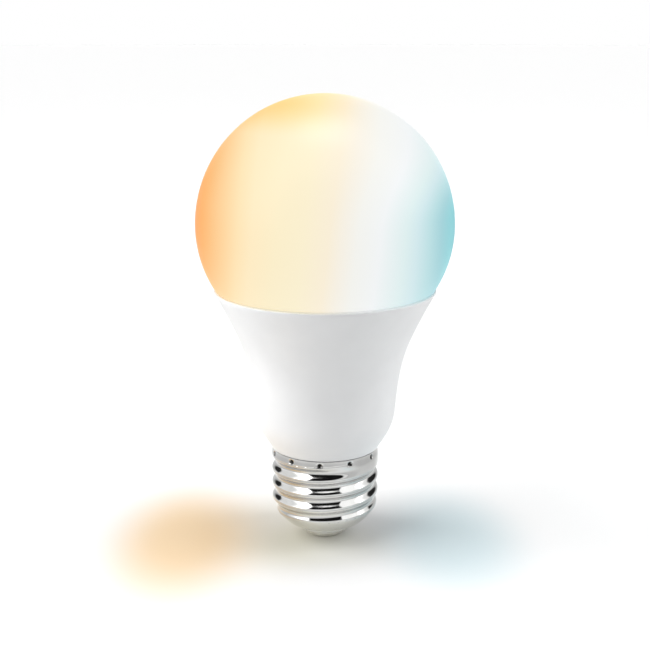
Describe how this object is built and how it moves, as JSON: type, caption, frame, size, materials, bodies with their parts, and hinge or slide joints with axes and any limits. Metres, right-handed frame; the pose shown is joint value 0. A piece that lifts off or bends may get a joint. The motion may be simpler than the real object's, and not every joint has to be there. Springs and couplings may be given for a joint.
{
  "type": "smart light bulb",
  "caption": "Screw-in smart LED bulb: frosted round globe that glows warm to cool, white flared housing, nickel screw base, driver and radio inside.",
  "frame": {"origin": "middle of the centre contact's flat face, on the bulb's axis, at its lowest point", "axes": "+Z along the bulb's axis from the screw base to the top of the globe; -Y is the front; the warm LEDs are on the -X side and the cool LEDs on the +X side"},
  "size_m": [0.0604, 0.0604, 0.1075],
  "materials": {
    "frosted_diffuser": "frosted polycarbonate that scatters the light, warm on the -X side and cool on the +X side",
    "silicone": "white silicone adhesive",
    "white_plastic": "satin moulded white",
    "nickel_shell": "bright nickel plate on drawn metal",
    "insulator_plastic": "moulded pale grey",
    "nickel_contact": "nickel plate, slightly duller than the shell",
    "aluminium_cup": "drawn, unpolished",
    "thermal_pad": "filled silicone, matt grey-blue",
    "white_board_mask": "white solder mask on an aluminium-core board",
    "warm_led_package": "warm white phosphor in a white package",
    "cool_led_package": "cool white phosphor in a white package",
    "screw_steel": "zinc-plated steel",
    "cream_nylon": "moulded cream nylon",
    "sleeve_nylon": "moulded natural polypropylene",
    "green_board": "green solder mask on glass-epoxy",
    "capacitor_sleeve": "shrunk dark sleeve over an aluminium can",
    "film_case": "dipped yellow epoxy case",
    "resistor_coat": "flameproof grey-green coating",
    "varistor_coat": "dipped blue epoxy",
    "ferrite": "sintered dark grey ferrite",
    "copper_wire": "enamelled copper winding wire",
    "polyester_tape": "yellow polyester tape wound over copper",
    "black_epoxy": "moulded black epoxy",
    "black_nylon": "moulded black nylon around square pins",
    "blue_board": "blue solder mask on glass-epoxy",
    "tinned_can": "tinned sheet steel, satin",
    "gold_trace": "gold-plated copper trace",
    "red_wire": "red PVC insulation",
    "white_wire": "white PVC insulation"
  },
  "bodies": {
    "root": {"diffuser_globe": "frosted_diffuser", "diffuser_sealing_bead": "silicone", "housing_shell": "white_plastic", "screw_shell": "nickel_shell", "base_insulator": "insulator_plastic", "centre_contact": "nickel_contact", "heat_sink_cup": "aluminium_cup", "thermal_pad": "thermal_pad", "led_board": "white_board_mask", "warm_led_1": "warm_led_package", "warm_led_2": "warm_led_package", "warm_led_3": "warm_led_package", "warm_led_4": "warm_led_package", "warm_led_5": "warm_led_package", "warm_led_6": "warm_led_package", "warm_led_7": "warm_led_package", "warm_led_8": "warm_led_package", "cool_led_1": "cool_led_package", "cool_led_2": "cool_led_package", "cool_led_3": "cool_led_package", "cool_led_4": "cool_led_package", "cool_led_5": "cool_led_package", "cool_led_6": "cool_led_package", "cool_led_7": "cool_led_package", "cool_led_8": "cool_led_package", "board_screw_left": "screw_steel", "board_screw_right": "screw_steel", "led_socket": "cream_nylon", "insulating_sleeve": "sleeve_nylon", "driver_board": "green_board", "bulk_capacitor": "capacitor_sleeve", "output_capacitor": "capacitor_sleeve", "film_capacitor": "film_case", "fusible_resistor": "resistor_coat", "varistor": "varistor_coat", "choke_core": "ferrite", "choke_winding": "copper_wire", "transformer_core": "ferrite", "transformer_winding": "polyester_tape", "bridge_rectifier": "black_epoxy", "controller_chip": "black_epoxy", "output_diode": "black_epoxy", "led_header": "black_nylon", "radio_board": "blue_board", "radio_shield_can": "tinned_can", "radio_antenna": "gold_trace", "radio_header": "black_nylon", "live_lead": "red_wire", "neutral_lead": "white_wire"}
  },
  "joints": []
}
